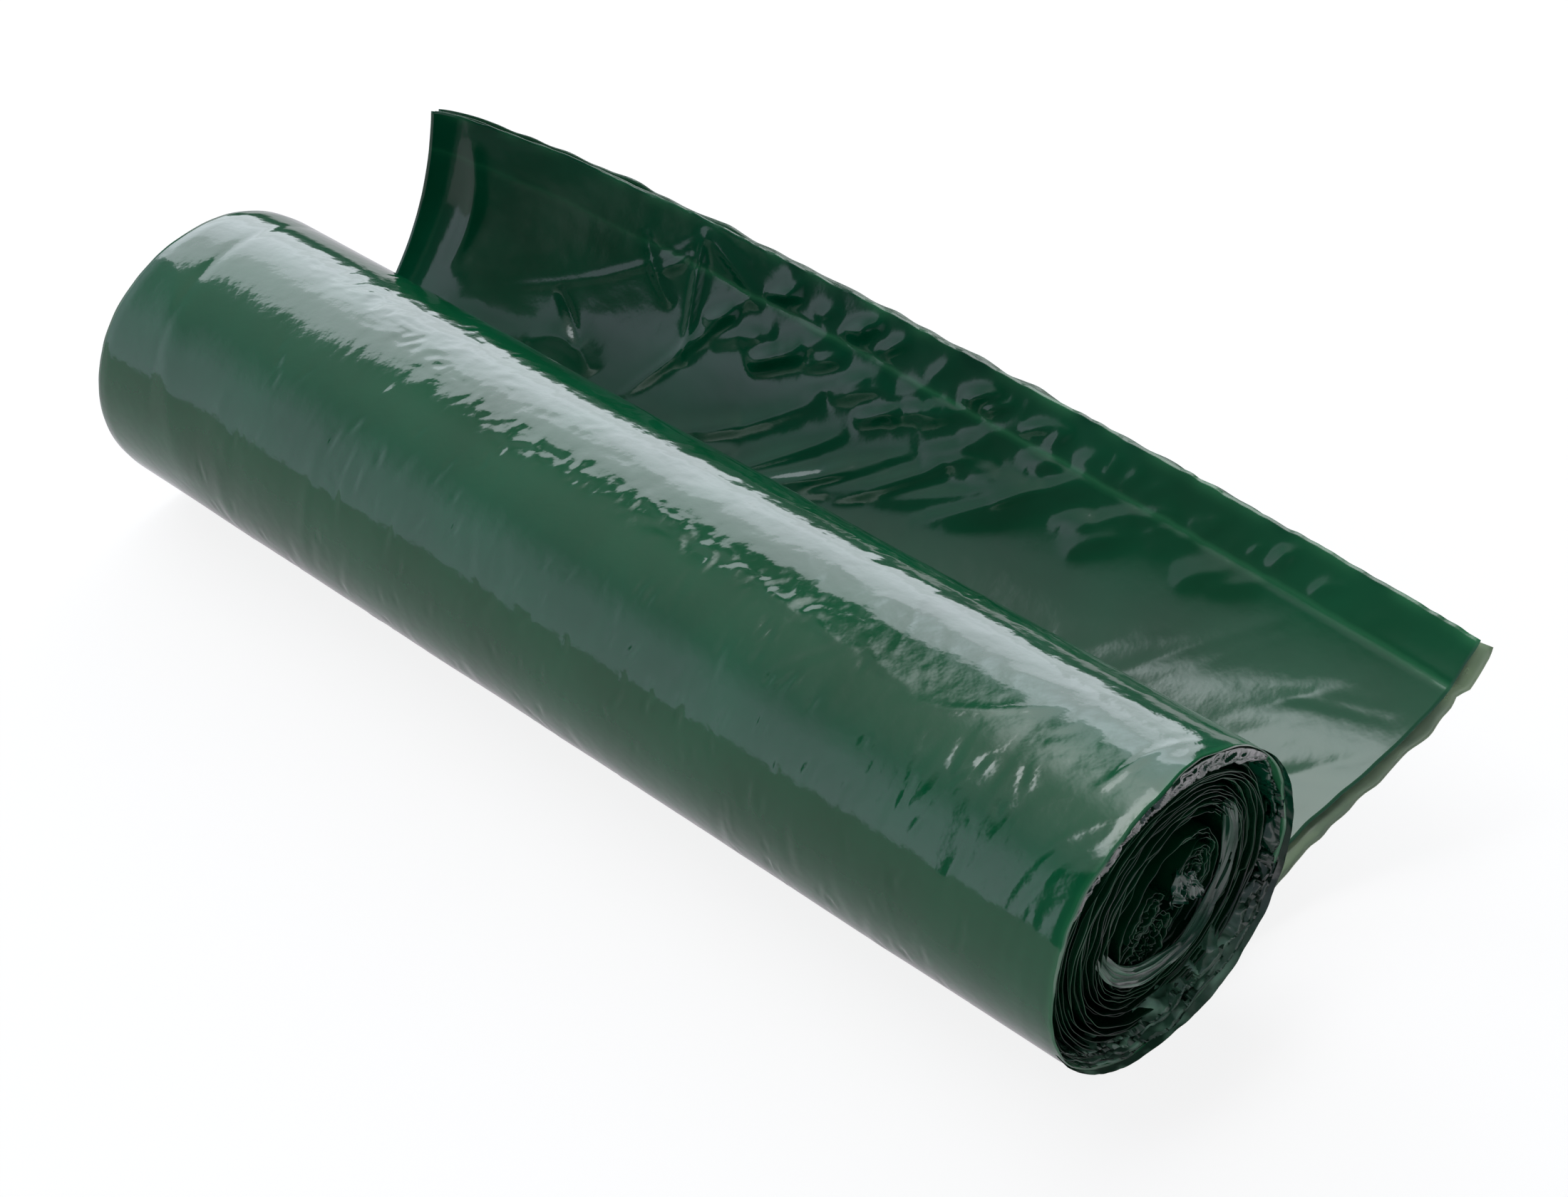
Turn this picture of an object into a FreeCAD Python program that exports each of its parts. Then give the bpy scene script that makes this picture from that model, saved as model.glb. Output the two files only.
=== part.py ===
import FreeCAD, Part
import math
import os

# A roll of bin bags, lying on its side with its free end curling up behind it.
# The film is wound on itself with no core. X runs along the roll, from its far end
# to its near end, Y points to the side where the free end leaves the roll, and Z
# points up. The origin is the middle of the flat spot that the roll lies on.
# All sizes are in millimetres and all angles in degrees.

# The wound roll
roll_length = 250.0
roll_height = 58.0
flat_width = 4.0          # of the flat spot that the roll's own weight presses under it
eye_height = 5.0          # the least height of the flattened hole in the middle

# The film. Each sack is folded lengthwise into three panels, which are wound together.
film_panel = 0.38         # one panel
panel_gap = 0.28          # air between two panels where they lie close
turn_gap = 0.42           # air between two turns
sack_gap = 0.95           # air between two turns where one sack follows another
turns_per_sack = 3

# The ends of the roll, where the inner turns lie back
lip_depth = 2.0           # how far the outermost turn stands proud of the next
dish_depth = 7.0          # how far the innermost turn lies back

# The free end. Each of its faces lies on a cone, because it curls more at the far end.
far_curl_radius = 58.2
near_curl_radius = 105.1
far_free_length = 94.6    # from the flat spot to the torn edge, along the film
near_free_length = 92.7
edge_bow = 2.1            # how much longer it is halfway along the roll
most_turn = 105.0         # more than the free end turns through anywhere

# The folded panels of the free end, which spring apart towards the torn edge
tight_turn = 12.0         # through this angle from the flat spot the panels lie tight
inner_spring = 2.5        # how much wider the inner panel curls than the front panel
back_spring = 5.0         # how much wider the back panel curls than the front panel
front_panel_inset = 3.0   # how far the front panel stops short of the fold behind it
back_panel_inset = 5.0    # how far the back panel stops short of the fold before it

# The sealed seam across the sack's bottom, pressed into the front panel
seal_distance = 10.0      # from the torn edge
seal_width = 1.2
seal_depth = 0.14

overrun = 1.0             # how far a cut runs past what it cuts
layer = 12.0              # more than the free end's thickness
edge_spans = 8            # the torn edge is drawn as this many spans

turn_thickness = 3 * film_panel + 2 * panel_gap
half_flat = flat_width / 2
far_end = -roll_length / 2
near_end = roll_length / 2


def point(x, y, z):
    return FreeCAD.Vector(x, y, z)


def line(a, b):
    return Part.LineSegment(a, b).toShape()


def arc(a, through, b):
    return Part.Arc(a, through, b).toShape()


# The wound roll

def turn_levels():
    """The heights of each turn's underside and top side, from the outermost inwards.
    The last pair is where the innermost turn ends."""
    levels = [(0.0, roll_height)]
    while True:
        bottom, top = levels[-1]
        sack_ends = len(levels) % turns_per_sack == 0
        step = turn_thickness + (sack_gap if sack_ends else turn_gap)
        bottom += step
        top -= step
        levels.append((bottom, top))
        if top - bottom - 2 * turn_thickness < eye_height:
            return levels


levels = turn_levels()
turn_count = len(levels) - 1


def half_turn(x, low, high, side):
    """A semicircle from low up to high, bulging to -Y for side -1 and to +Y for side 1."""
    y = side * half_flat
    bulge = point(x, y + side * (high - low) / 2, (low + high) / 2)
    return arc(point(x, y, low), bulge, point(x, y, high))


def turn_path(x, turn, inset):
    """One turn as four edges: under the roll, up its front, over it and down its back.
    The inset is 0 for the turn's outer face and the film's thickness for its inner face."""
    low = levels[turn][0] + inset
    high = levels[turn][1] - inset
    next_low = levels[turn + 1][0] + inset
    return [
        line(point(x, half_flat, low), point(x, -half_flat, low)),
        half_turn(x, low, high, -1),
        line(point(x, -half_flat, high), point(x, half_flat, high)),
        half_turn(x, next_low, high, 1),
    ]


def face_of(edges):
    return Part.Face(Part.Wire(Part.__sortEdges__(edges)))


def wound_block():
    """The roll without the air in it. A slit under it parts the outermost turn, which
    goes on as the free end, from the turn above."""
    slit_top = levels[1][0]
    slit = [
        line(point(far_end, half_flat, slit_top), point(far_end, -half_flat, slit_top)),
        line(point(far_end, -half_flat, slit_top), point(far_end, -half_flat, turn_thickness)),
        line(point(far_end, -half_flat, turn_thickness), point(far_end, half_flat, turn_thickness)),
        line(point(far_end, half_flat, turn_thickness), point(far_end, half_flat, 0)),
    ]
    return face_of(turn_path(far_end, 0, 0) + slit).extrude(point(roll_length, 0, 0))


def spiral_air():
    """The air between the turns, in one spiral from the slit to the flattened eye."""
    start_x = far_end - overrun
    edges = []
    for turn in range(turn_count):
        edges += turn_path(start_x, turn, turn_thickness)
    for turn in range(1, turn_count):
        edges += turn_path(start_x, turn, 0)
    slit_low = point(start_x, half_flat, turn_thickness)
    slit_high = point(start_x, half_flat, levels[1][0])
    eye_low = point(start_x, half_flat, levels[turn_count][0])
    eye_high = eye_low + point(0, 0, turn_thickness)
    edges += [line(slit_low, slit_high), line(eye_low, eye_high)]
    return face_of(edges).extrude(point(roll_length + 2 * overrun, 0, 0))


def inner_outline(x, turn):
    """The closed outline just inside one turn."""
    edges = turn_path(x, turn, turn_thickness)
    low = point(x, half_flat, levels[turn][0] + turn_thickness)
    high = point(x, half_flat, levels[turn + 1][0] + turn_thickness)
    return Part.Wire(edges + [line(high, low)])


def dish(end_x, inward):
    """What the end lacks because its inner turns lie back. inward is 1 or -1."""
    rim = inner_outline(end_x + inward * lip_depth, 0)
    floor = inner_outline(end_x + inward * dish_depth, turn_count - 1)
    mouth = Part.Face(rim).extrude(point(-inward * (lip_depth + overrun), 0, 0))
    return Part.makeLoft([rim, floor], True, True).fuse(mouth)


def wound_roll():
    roll = wound_block().cut(dish(far_end, 1)).cut(dish(near_end, -1))
    return roll.cut(spiral_air())


# The free end

class Curl:
    """The cone that one face of the free end lies on. It touches the level of the
    flat spot along the line where the free end leaves the roll."""

    def __init__(self, height, spring=0.0, offset=0.0):
        """The height is that of the cone's lowest line. The spring widens its curl, and
        the offset moves it out square to itself."""
        far_radius = far_curl_radius + spring + offset
        slope = (near_curl_radius - far_curl_radius) / roll_length
        self.angle = math.atan(slope)
        self.apex = point(far_end - far_radius / slope, half_flat, height)
        self.axis = point(math.cos(self.angle), 0, math.sin(self.angle))
        self.down = point(math.sin(self.angle), 0, -math.cos(self.angle))

    def at(self, distance, turn, inward=0.0):
        """The point that far from the apex along the cone and turned about its axis."""
        foot = self.apex + self.axis * (distance * math.cos(self.angle))
        ray = self.down * (distance * math.sin(self.angle) - inward)
        return foot + FreeCAD.Rotation(self.axis, turn).multVec(ray)

    def inside(self, start_turn=0.0):
        """A thick layer inside the cone, from past one end of the roll to past the other."""
        far = far_end - overrun - self.apex.x
        near = near_end + near_curl_radius * math.tan(self.angle) - self.apex.x
        corners = [self.at(far, start_turn), self.at(near, start_turn)]
        corners += [self.at(near, start_turn, layer), self.at(far, start_turn, layer)]
        profile = Part.makePolygon(corners + corners[:1])
        return Part.Face(profile).revolve(self.apex, self.axis, most_turn - start_turn)

    def fan(self, x, length):
        """A fan past the line that lies that far from the flat spot along the film."""
        across = x - self.apex.x
        distance = math.hypot(across, length)
        turn = math.degrees(math.atan2(length, across) / math.sin(self.angle))
        radius = distance * math.sin(self.angle)
        corners = [self.at(distance, turn, radius)]
        corners += [self.at(distance, turn + more, -radius) for more in (0, 45, 90)]
        return Part.makePolygon(corners + corners[:1])


def free_length(x):
    share = (x - far_end) / roll_length
    straight = far_free_length + (near_free_length - far_free_length) * share
    return straight + edge_bow * 4 * share * (1 - share)


def beyond(curl, distance):
    """All that lies past a line that follows the torn edge at that distance."""
    start = far_end - layer
    step = (near_end + near_curl_radius / 2 - start) / edge_spans
    places = [start + i * step for i in range(edge_spans + 1)]
    fans = [curl.fan(x, free_length(x) - distance) for x in places]
    return Part.makeLoft(fans, True, True)


def slab(start_x, end_x):
    """Everything between two places along the roll."""
    room = 2 * near_curl_radius
    return Part.makeBox(end_x - start_x, 2 * room, 2 * room, point(start_x, -room, -room))


def free_end():
    """The loose end of the outermost sack. The front panel turns back at the far end
    into the inner panel, which turns back at the near end into the back panel."""
    step = film_panel + panel_gap
    front = Curl(turn_thickness)
    front_back = Curl(turn_thickness - film_panel, 0, film_panel)
    inner_front = Curl(turn_thickness - step, inner_spring, step)
    inner_back = Curl(turn_thickness - step - film_panel, inner_spring, step + film_panel)
    back_front = Curl(turn_thickness - 2 * step, back_spring, 2 * step)
    back = Curl(0, back_spring, turn_thickness)

    stack = back.inside().cut(front.inside()).common(slab(far_end, near_end))
    front_gap = inner_front.inside(tight_turn).cut(front_back.inside())
    stack = stack.cut(front_gap.common(slab(far_end + film_panel, near_end + overrun)))
    back_gap = back_front.inside(tight_turn).cut(inner_back.inside())
    stack = stack.cut(back_gap.common(slab(far_end - overrun, near_end - film_panel)))

    front_edge = slab(near_end - front_panel_inset, near_end + overrun)
    stack = stack.cut(inner_front.inside(tight_turn).common(front_edge))
    back_edge = back.inside(tight_turn).cut(inner_back.inside())
    stack = stack.cut(back_edge.common(slab(far_end - overrun, far_end + back_panel_inset)))

    seam = Curl(turn_thickness, 0, seal_depth).inside()
    seam = seam.common(beyond(front, seal_distance + seal_width / 2))
    seam = seam.cut(beyond(front, seal_distance - seal_width / 2))
    return stack.cut(beyond(front, 0)).cut(seam)


if __name__ == "__main__":
    os.makedirs("parts", exist_ok=True)
    bag_roll = wound_roll().fuse(free_end())
    print("valid", bag_roll.isValid(), "solids", len(bag_roll.Solids), "turns", turn_count)
    print("volume", round(bag_roll.Volume), "size", bag_roll.BoundBox)
    bag_roll.exportStep("parts/bag_roll.step")
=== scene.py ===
import math

import bmesh
import bpy
import numpy as np
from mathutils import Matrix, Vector

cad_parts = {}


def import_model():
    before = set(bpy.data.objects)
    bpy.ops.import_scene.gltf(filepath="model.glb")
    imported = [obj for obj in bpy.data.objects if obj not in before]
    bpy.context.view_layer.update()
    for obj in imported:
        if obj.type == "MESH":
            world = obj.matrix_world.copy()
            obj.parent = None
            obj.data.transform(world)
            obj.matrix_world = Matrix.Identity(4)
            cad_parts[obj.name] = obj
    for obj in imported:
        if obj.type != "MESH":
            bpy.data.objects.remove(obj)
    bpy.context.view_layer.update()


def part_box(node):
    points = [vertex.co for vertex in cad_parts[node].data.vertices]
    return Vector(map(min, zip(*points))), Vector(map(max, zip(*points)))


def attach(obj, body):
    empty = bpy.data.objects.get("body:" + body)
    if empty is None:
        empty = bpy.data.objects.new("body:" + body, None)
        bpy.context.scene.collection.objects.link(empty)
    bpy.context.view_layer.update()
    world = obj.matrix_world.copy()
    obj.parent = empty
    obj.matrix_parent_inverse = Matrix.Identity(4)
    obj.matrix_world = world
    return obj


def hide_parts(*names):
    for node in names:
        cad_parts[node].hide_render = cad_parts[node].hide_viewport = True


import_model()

# A roll of bin bags with its free end curling up behind it. The film is dressed in
# thin wrinkled sheets. Lengths are in millimetres until a sheet is placed.

MM = 0.001
low, high = (np.array(corner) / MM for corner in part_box("bag_roll"))
FAR_END, NEAR_END = low[0], high[0]
ROLL_LENGTH = NEAR_END - FAR_END

# The wound roll's section is an oval that lies on a small flat spot.
ROLL_HEIGHT = 58.0
HALF_WIDTH = -low[1]
HALF_HEIGHT = ROLL_HEIGHT / 2
LEAVE_Y = 2.0             # where the free end leaves the flat spot
AROUND = math.pi * (HALF_WIDTH + HALF_HEIGHT)

# The free end lies on a cone that touches the floor's level along its root.
FAR_CURL = 58.2
NEAR_CURL = 105.1
FAR_LENGTH = 94.6
NEAR_LENGTH = 92.7
EDGE_BOW = 2.1
ROOT_HEIGHT = 1.7
SEAL_DISTANCE = 10.0      # from the torn edge
SEAL_WIDTH = 0.6          # from the seam's middle to where it fades


# Noise and creases on a flat sheet

def noise(x, y, seed):
    """Smooth noise between about -1 and 1 that changes over one unit of x and y."""
    angles = np.random.default_rng(seed).random((64, 64)) * 2 * math.pi
    column, row = np.floor(x).astype(int), np.floor(y).astype(int)
    fx, fy = x - column, y - row
    total = np.zeros_like(fx)
    for i in (0, 1):
        for j in (0, 1):
            turn = angles[(column + i) % 64, (row + j) % 64]
            slope = np.cos(turn) * (fx - i) + np.sin(turn) * (fy - j)
            wx, wy = np.abs(1 - i - fx), np.abs(1 - j - fy)
            fade = wx ** 3 * (wx * (wx * 6 - 15) + 10) * wy ** 3 * (wy * (wy * 6 - 15) + 10)
            total += slope * fade
    return total * 1.5


def layered(x, y, seed, layers=3):
    """Noise with finer noise on it."""
    total = np.zeros_like(x)
    for k in range(layers):
        total += noise(x * 2 ** k, y * 2 ** k, seed + k) / 2 ** k
    return total


def crumple(x, y, seed, sharp=2.0):
    """Sharp creases between flat facets, as in crushed film."""
    bend_x = x + 0.6 * noise(x, y, seed + 11)
    bend_y = y + 0.6 * noise(x, y, seed + 12)
    total = np.zeros_like(x)
    for k in range(3):
        ridge = np.clip(1 - np.abs(noise(bend_x * 2 ** k, bend_y * 2 ** k, seed + k)), 0, 1)
        total += ridge ** sharp / 2.2 ** k
    return total - 1.0


def window(value, start, end, soft):
    """1 between start and end, with soft shoulders."""
    rise = np.clip((value - start) / soft + 0.5, 0, 1)
    fall = np.clip((end - value) / soft + 0.5, 0, 1)
    rise, fall = rise * rise * (3 - 2 * rise), fall * fall * (3 - 2 * fall)
    return rise * fall


def crease(x, y, path, width, height):
    """A ridge along a bent path of three points. It fades out at both ends."""
    (x0, y0), (x1, y1), (x2, y2) = path
    best = np.full_like(x, 1e9)
    place = np.zeros_like(x)
    pieces = 10
    for k in range(pieces):
        a, b = k / pieces, (k + 1) / pieces
        ax = (1 - a) ** 2 * x0 + 2 * a * (1 - a) * x1 + a * a * x2
        ay = (1 - a) ** 2 * y0 + 2 * a * (1 - a) * y1 + a * a * y2
        bx = (1 - b) ** 2 * x0 + 2 * b * (1 - b) * x1 + b * b * x2
        by = (1 - b) ** 2 * y0 + 2 * b * (1 - b) * y1 + b * b * y2
        dx, dy = bx - ax, by - ay
        along = np.clip(((x - ax) * dx + (y - ay) * dy) / (dx * dx + dy * dy), 0, 1)
        gap = np.hypot(x - ax - along * dx, y - ay - along * dy)
        nearer = gap < best
        best = np.where(nearer, gap, best)
        place = np.where(nearer, a + along / pieces, place)
    fade = np.sin(np.clip(place, 0, 1) * math.pi) ** 0.6
    return height * fade * np.exp(-(best / width) ** 1.5)


def dimples(x, y, area, count, seed, long=(0.9, 2.4), wide=(0.35, 0.7), deep=(0.09, 0.24)):
    """Short dents, longer across the roll than along it."""
    draw = np.random.default_rng(seed)
    (x_low, x_high), (y_low, y_high) = area
    total = np.zeros_like(x)
    for _ in range(count):
        cx, cy = draw.uniform(x_low, x_high), draw.uniform(y_low, y_high)
        length, width = draw.uniform(*long), draw.uniform(*wide)
        lean, depth = draw.normal(0, 0.22), draw.uniform(*deep)
        reach = (np.abs(x - cx) < 3 * length + 2) & (np.abs(y - cy) < 3 * length + 2)
        ax, ay = x[reach] - cx, y[reach] - cy
        along = ay * math.cos(lean) + ax * math.sin(lean)
        across = ax * math.cos(lean) - ay * math.sin(lean)
        dent = np.exp(-(along / length) ** 2 - (across / width) ** 2)
        rim = 0.5 * np.exp(-(along / length) ** 2 - ((across - 1.6 * width) / width) ** 2)
        total[reach] += depth * (rim - dent)
    return total


# Sheets of film

def sheet(name, columns, rows, place, pale_and_painted_light=None):
    """A sheet whose grid of corners is put where place says. place takes arrays of
    shares from 0 to 1 along the columns and the rows, and returns x, y and z. The last
    argument returns how much of the film's paler colour shows there; on some sheets that
    colour is painted light (painted highlights, glints and glow), on others paler film."""
    grid = bmesh.new()
    bmesh.ops.create_grid(grid, x_segments=columns, y_segments=rows, size=0.5, calc_uvs=True)
    mesh = bpy.data.meshes.new(name)
    grid.loops.layers.uv.verify()
    grid.to_mesh(mesh)
    grid.free()
    flat = np.empty(len(mesh.vertices) * 3)
    mesh.vertices.foreach_get("co", flat)
    share = flat.reshape(-1, 3)[:, :2] + 0.5
    x, y, z = place(share[:, 0], share[:, 1])
    mesh.vertices.foreach_set("co", (np.stack([x, y, z], 1) * MM).ravel())
    if pale_and_painted_light:
        marks = mesh.attributes.new("pale_and_painted_light", "FLOAT", "POINT")
        marks.data.foreach_set("value", np.clip(pale_and_painted_light(share[:, 0], share[:, 1]), 0, 1))
    mesh.update()
    mesh.polygons.foreach_set("use_smooth", [True] * len(mesh.polygons))
    piece = bpy.data.objects.new(name, mesh)
    bpy.context.scene.collection.objects.link(piece)
    return piece


# How thick the film is drawn, in millimetres
RIM_FILM = 0.08
FRONT_FILM = 0.12
REAR_FILM = 0.10


def thicken(piece, thickness):
    """Gives a sheet its thickness, half of it to each side."""
    wall = piece.modifiers.new("film", "SOLIDIFY")
    wall.thickness = thickness * MM
    wall.offset = 0.0
    wall.use_even_offset = False
    return piece


# The outer turn

def oval(turn, shrink=0.0):
    """A point of the roll's section. The turn starts under the roll at 0 and goes over
    its front, and shrink draws it towards the middle."""
    y = -(HALF_WIDTH - shrink) * np.sin(turn)
    z = HALF_HEIGHT - (HALF_HEIGHT - shrink) * np.cos(turn)
    return y, z


def wrap_height(x, s):
    """How far the outer film stands out of the oval. s runs around the roll in
    millimetres: 0 below, a quarter of the way in front, half of the way on top."""
    top = AROUND / 2
    near = np.clip((x - 35) / 45, 0, 1) * window(s, 34, 92, 24)
    height = 0.16 * (1 - 0.6 * near) * layered(x / 48, s / 30, 3, 2)
    inside = window(x, FAR_END + 30, NEAR_END - 2, 36)
    height += 0.018 * inside * layered(x / 9, s / 22, 5, 2)
    band = window(s, top - 6, top + 18, 10) * inside
    height += 0.09 * band * crumple(x / 13, s / 6, 21, 1.6)
    row = top - 8.5 + 14 * np.clip((-20 - x) / 60, 0, 1) ** 1.5
    row += 1.2 * noise(x / 21, x * 0 + 0.4, 22)
    calm = 1 - 0.75 * np.clip((x - 45) / 25, 0, 1)
    near_row = np.exp(-((s - row) / 3.2) ** 2) * inside * calm
    height += 0.26 * near_row * crumple(x / 6.5 + 0.35 * s / 6.5, (s - 0.35 * x) / 4.2, 23, 2.2)
    flank = window(s, 12, AROUND - 22, 20) * inside
    height += 0.030 * flank * calm * crumple(x / 6, s / 15, 31, 2.0)
    along = (FAR_END + 34, NEAR_END - 14)
    height += dimples(x, s, (along, (22, top - 12)), 150, 41)
    height += dimples(x, s, (along, (top + 10, AROUND - 15)), 90, 42)
    along = (FAR_END + 36, NEAR_END - 20)
    sizes = (3.0, 7.0), (0.8, 1.7), (0.05, 0.13)
    height += dimples(x, s, (along, (26, top - 16)), 34, 44, *sizes)
    for path, width, lift in ROLL_FOLDS:
        height += crease(x, s, path, width, lift)
    draw = np.random.default_rng(43)
    for k in range(9):
        s0 = top + 22 - 6.0 * k + draw.normal(0, 1.5)
        reach = draw.uniform(7, 20)
        path = (
            (NEAR_END + 3, s0 + draw.normal(0, 1)),
            (NEAR_END - 0.5 * reach, s0 - draw.uniform(1, 5)),
            (NEAR_END - reach, s0 - draw.uniform(6, 16)),
        )
        height += crease(x, s, path, draw.uniform(0.9, 1.8), draw.uniform(0.015, 0.05))
    for _ in range(36):
        x0, s0 = draw.uniform(NEAR_END - 44, NEAR_END - 3), draw.uniform(46, 104)
        reach = draw.uniform(9, 26)
        path = (
            (x0, s0),
            (x0 - 0.5 * reach, s0 - 0.4 * reach),
            (x0 - reach, s0 - draw.uniform(0.85, 1.15) * reach),
        )
        height += crease(x, s, path, draw.uniform(0.7, 1.6), draw.uniform(-0.018, 0.024))
    return height


# Folds of the outer film: three points along the roll and around it, the width and
# the height.
ROLL_FOLDS = (
    (((58.5, 110), (67, 97), (71.5, 84)), 0.28, 0.12),
    (((60.5, 112), (73, 97), (82.5, 83)), 0.28, -0.10),
    (((40, 86), (46, 82.5), (54, 84)), 0.6, 0.34),
    (((52, 86), (58, 81.5), (66, 83.5)), 0.6, 0.32),
    (((64, 86.5), (70, 81), (79, 83)), 0.5, 0.24),
    (((77, 80.5), (88, 80), (101, 94)), 0.7, 0.2),
    (((30, 88), (35, 84), (42, 86)), 0.5, 0.28),
    (((20, 88.5), (25, 84.5), (31, 86.5)), 0.5, 0.28),
    (((8, 90), (14, 85.5), (20, 87.5)), 0.5, 0.26),
    (((101, 94), (98, 82), (103, 44)), 1.9, -0.09),
    (((97.5, 96), (95, 82), (99.5, 46)), 2.6, 0.03),
    (((111, 93), (108.5, 76), (102, 52)), 1.9, -0.06),
    (((107, 92), (104.5, 76), (99.5, 62)), 2.6, 0.02),
    (((124, 84), (112, 72), (112, 50)), 0.45, 0.09),
    (((123, 78), (115, 66), (115.5, 48)), 0.5, 0.09),
    (((124, 70), (120, 63), (117, 52)), 1.0, -0.04),
    (((116.5, 82), (116.5, 91), (122, 107)), 0.55, 0.2),
    (((84, 80), (89, 66), (87, 46)), 0.35, 0.08),
    (((88.5, 58), (90.5, 48), (95, 34)), 0.35, 0.08),
    (((118, 30), (120, 52), (117, 78)), 0.9, 0.08),
    (((-116, 118), (-113, 96), (-107, 52)), 1.3, -0.16),
    (((-122, 84), (-104, 74), (-98, 40)), 4.0, 0.3),
    (((-88, 66), (-84, 52), (-86, 30)), 2.2, 0.18),
    (((-60, 70), (-57, 58), (-60, 40)), 2.0, 0.16),
)


WRAP_COLUMNS = 370
WRAP_ROWS = 256
WRAP_START = -0.10        # the turns between which the sheet goes round
WRAP_END = 2 * math.pi + 0.25
LIP = 0.012               # the share of the sheet that turns in at each end
LIP_DEPTH = 9.0


def place_wrap(u, v):
    """The outer turn, with its lips turned in at both ends of the roll."""
    body = np.clip((u - LIP) / (1 - 2 * LIP), 0, 1)
    x = FAR_END + body * ROLL_LENGTH
    turn = WRAP_START + v * (WRAP_END - WRAP_START)
    s = turn / (2 * math.pi) * AROUND
    tuck = 1.3 * np.clip((turn - 1.65 * math.pi) / (0.5 * math.pi), 0, 1) ** 2
    lap = 0.35 * np.clip((0.25 - turn) / 0.35, 0, 1)
    rim = window(x, FAR_END + 1.5, NEAR_END - 1.0, 4)
    height = wrap_height(x, s) * window(s, 6, AROUND - 2, 10)
    height -= 0.35 * (1 - rim)
    near_lip = np.clip((u - 1 + LIP) / LIP, 0, 1)
    far_lip = np.clip((LIP - u) / LIP, 0, 1)
    turned = np.maximum(near_lip, far_lip)
    height -= 0.3 * np.minimum(turned * 4, 1) + 1.0 * turned
    y, z = oval(turn, tuck + lap - height)
    z = np.maximum(z, lap)
    edge = 0.55 * layered(s / 14, s * 0 + 0.3, 51, 3)
    by_near = np.clip((x - NEAR_END + 14) / 14, 0, 1)
    by_far = np.clip((FAR_END + 10 - x) / 10, 0, 1)
    x = x + edge * by_near + 0.5 * edge * by_far
    x = x + 1.1 * window(s, 24, 90, 20) * np.clip((x - NEAR_END + 14) / 14, 0, 1)
    x = x - LIP_DEPTH * near_lip + LIP_DEPTH * far_lip
    return x, y, z


def pale_wrap(u, v):
    return 0.5 * np.exp(-((u - 1 + LIP) / (0.35 * LIP)) ** 2) + 0 * v


def outer_turn():
    return sheet("outer_turn", WRAP_COLUMNS, WRAP_ROWS, place_wrap, pale_wrap)


# The ends of the roll

LEAN = math.radians(45)   # how far the coils' long way leans from level

# A folded edge from one of its sides to the other: how far each row of corners lies
# out of the fold's middle and behind its front.
SIDE_OUT = (-0.12, -0.12, -0.11, -0.07, 0.0, 0.07, 0.11, 0.12, 0.12)
SIDE_BACK = (9.0, 3.0, 0.5, 0.1, 0.0, 0.1, 0.5, 3.0, 9.0)

# Coils of folded film in an end: the turns, the middle of the outermost and of the
# innermost, their half lengths and half widths, how far back they lie at first and at
# last, and how restless they are.
COILS = (
    (23, (0, 29), (7, 24.5), (30.0, 30.0), (15.5, 12.5), (1.2, 5.5), 1.0),
    (7, (6.5, 23), (6, 22), (14.5, 11.0), (11.5, 8.5), (5.0, 8.0), 2.2),
    (9, (11.5, 27), (11, 26), (6.4, 4.8), (1.5, 0.8), (4.5, 5.5), 1.2),
    (9, (0.5, 16.5), (1, 16), (8.0, 5.5), (1.2, 0.7), (5.0, 6.5), 3.0),
    (4, (-1.0, 25), (0, 24), (5.6, 2.6), (2.0, 0.6), (4.2, 5.2), 1.6),
)


MANY_TURNS = 20           # only a coil with more has a hollow in its first turns
FIRST_COIL_CORNERS = 150  # to a turn
COIL_CORNERS = 96


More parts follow.
